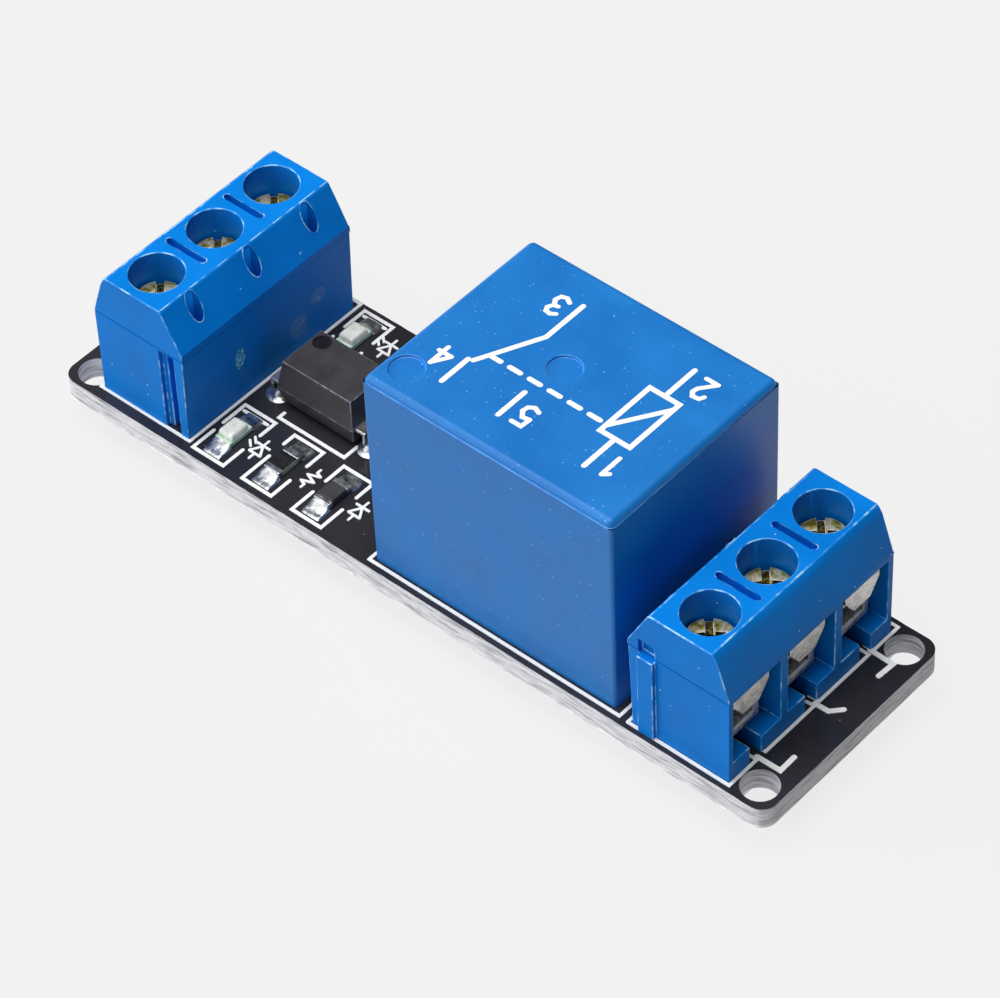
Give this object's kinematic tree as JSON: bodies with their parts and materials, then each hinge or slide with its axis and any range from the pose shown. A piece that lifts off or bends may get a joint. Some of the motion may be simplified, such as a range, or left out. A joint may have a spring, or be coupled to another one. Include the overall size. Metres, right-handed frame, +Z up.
{
  "type": "relay module board",
  "caption": "Relay module board: a sealed power relay between screw terminal blocks, with optocoupler, status lights and corner mounting holes.",
  "frame": {"origin": "centre of the board in plan, at the height of the tips of the terminal solder pins", "axes": "+X along the board from the input block to the output block, +Y across the board, +Z up from the solder side to the relay"},
  "size_m": [0.0562, 0.0166, 0.0189],
  "materials": {
    "board_mask": "black gloss solder mask on woven glass board, pale cut edge",
    "block_plastic": "bright blue moulded polyamide, light sheen",
    "contact_steel": "brushed plated strip",
    "clamp_nickel": "nickel plated, stamped grip",
    "screw_zinc": "yellow passivated zinc on steel",
    "relay_plastic": "blue moulded cover, fine sheen",
    "base_plastic": "dark moulded base",
    "bobbin_plastic": "natural white nylon",
    "coil_wire": "enamelled copper wire",
    "magnet_iron": "zinc plated soft iron",
    "tinned_pin": "tinned copper alloy",
    "spring_bronze": "phosphor bronze strip",
    "contact_silver": "silver alloy contact face",
    "black_epoxy": "black moulded epoxy, fine grain",
    "resistor_glaze": "black glaze on a white ceramic chip",
    "led_ceramic": "white ceramic carrier",
    "led_resin": "milky clear resin",
    "solder": "bright solder"
  },
  "bodies": {
    "module": {"pcb": "board_mask", "housing_in": "block_plastic", "housing_out": "block_plastic", "contact_in_1": "contact_steel", "contact_in_2": "contact_steel", "contact_in_3": "contact_steel", "contact_out_1": "contact_steel", "contact_out_2": "contact_steel", "contact_out_3": "contact_steel", "relay_cover": "relay_plastic", "relay_base": "base_plastic", "coil_bobbin": "bobbin_plastic", "coil_winding": "coil_wire", "coil_core": "magnet_iron", "coil_pins": "tinned_pin", "yoke": "magnet_iron", "common_terminal": "tinned_pin", "closed_terminal": "spring_bronze", "open_terminal": "spring_bronze", "closed_contact": "contact_silver", "open_contact": "contact_silver", "opto_body": "black_epoxy", "opto_leads": "tinned_pin", "led_1_base": "led_ceramic", "led_1_lens": "led_resin", "led_2_base": "led_ceramic", "led_2_lens": "led_resin", "resistor_1": "resistor_glaze", "resistor_1_caps": "tinned_pin", "resistor_2": "resistor_glaze", "resistor_2_caps": "tinned_pin", "resistor_3": "resistor_glaze", "resistor_3_caps": "tinned_pin", "diode": "black_epoxy", "diode_caps": "tinned_pin", "transistor_body": "black_epoxy", "transistor_leads": "tinned_pin", "solder_in": "solder", "solder_out": "solder", "solder_relay": "solder", "solder_opto": "solder", "solder_chips": "solder"},
    "screw_in_1": {"screw_in_1": "screw_zinc"},
    "cage_in_1": {"cage_in_1": "clamp_nickel"},
    "screw_in_2": {"screw_in_2": "screw_zinc"},
    "cage_in_2": {"cage_in_2": "clamp_nickel"},
    "screw_in_3": {"screw_in_3": "screw_zinc"},
    "cage_in_3": {"cage_in_3": "clamp_nickel"},
    "screw_out_1": {"screw_out_1": "screw_zinc"},
    "cage_out_1": {"cage_out_1": "clamp_nickel"},
    "screw_out_2": {"screw_out_2": "screw_zinc"},
    "cage_out_2": {"cage_out_2": "clamp_nickel"},
    "screw_out_3": {"screw_out_3": "screw_zinc"},
    "cage_out_3": {"cage_out_3": "clamp_nickel"},
    "armature": {"armature": "magnet_iron", "contact_spring": "spring_bronze", "moving_contact": "contact_silver"}
  },
  "joints": [
    {"name": "screw_turn_in_1", "type": "hinge", "parent": "module", "child": "screw_in_1", "pos_m": [-0.02179, 0.00518, 0.0095], "axis": [0, 0, 1], "range_deg": [-864, 0]},
    {"name": "cage_lift_in_1", "type": "slide", "parent": "module", "child": "cage_in_1", "axis": [0, 0, 1], "range_m": [0, 0.0012]},
    {"name": "screw_turn_in_2", "type": "hinge", "parent": "module", "child": "screw_in_2", "pos_m": [-0.02179, 0.0001, 0.0095], "axis": [0, 0, 1], "range_deg": [-864, 0]},
    {"name": "cage_lift_in_2", "type": "slide", "parent": "module", "child": "cage_in_2", "axis": [0, 0, 1], "range_m": [0, 0.0012]},
    {"name": "screw_turn_in_3", "type": "hinge", "parent": "module", "child": "screw_in_3", "pos_m": [-0.02179, -0.00498, 0.0095], "axis": [0, 0, 1], "range_deg": [-864, 0]},
    {"name": "cage_lift_in_3", "type": "slide", "parent": "module", "child": "cage_in_3", "axis": [0, 0, 1], "range_m": [0, 0.0012]},
    {"name": "screw_turn_out_1", "type": "hinge", "parent": "module", "child": "screw_out_1", "pos_m": [0.02169, -0.00528, 0.0095], "axis": [0, 0, 1], "range_deg": [-864, 0]},
    {"name": "cage_lift_out_1", "type": "slide", "parent": "module", "child": "cage_out_1", "axis": [0, 0, 1], "range_m": [0, 0.0012]},
    {"name": "screw_turn_out_2", "type": "hinge", "parent": "module", "child": "screw_out_2", "pos_m": [0.02169, -0.0002, 0.0095], "axis": [0, 0, 1], "range_deg": [-864, 0]},
    {"name": "cage_lift_out_2", "type": "slide", "parent": "module", "child": "cage_out_2", "axis": [0, 0, 1], "range_m": [0, 0.0012]},
    {"name": "screw_turn_out_3", "type": "hinge", "parent": "module", "child": "screw_out_3", "pos_m": [0.02169, 0.00488, 0.0095], "axis": [0, 0, 1], "range_deg": [-864, 0]},
    {"name": "cage_lift_out_3", "type": "slide", "parent": "module", "child": "cage_out_3", "axis": [0, 0, 1], "range_m": [0, 0.0012]},
    {"name": "armature_swing", "type": "hinge", "parent": "module", "child": "armature", "pos_m": [-0.00108, 0, 0.0151], "axis": [0, 1, 0], "range_deg": [0, 2], "stiffness_Nm_per_rad": 0.02, "springref_deg": -5.73}
  ],
  "couplings": [
    {"joint": "screw_turn_in_1", "follows": "cage_lift_in_1", "rad_per_m": -12566},
    {"joint": "screw_turn_in_2", "follows": "cage_lift_in_2", "rad_per_m": -12566},
    {"joint": "screw_turn_in_3", "follows": "cage_lift_in_3", "rad_per_m": -12566},
    {"joint": "screw_turn_out_1", "follows": "cage_lift_out_1", "rad_per_m": -12566},
    {"joint": "screw_turn_out_2", "follows": "cage_lift_out_2", "rad_per_m": -12566},
    {"joint": "screw_turn_out_3", "follows": "cage_lift_out_3", "rad_per_m": -12566}
  ]
}
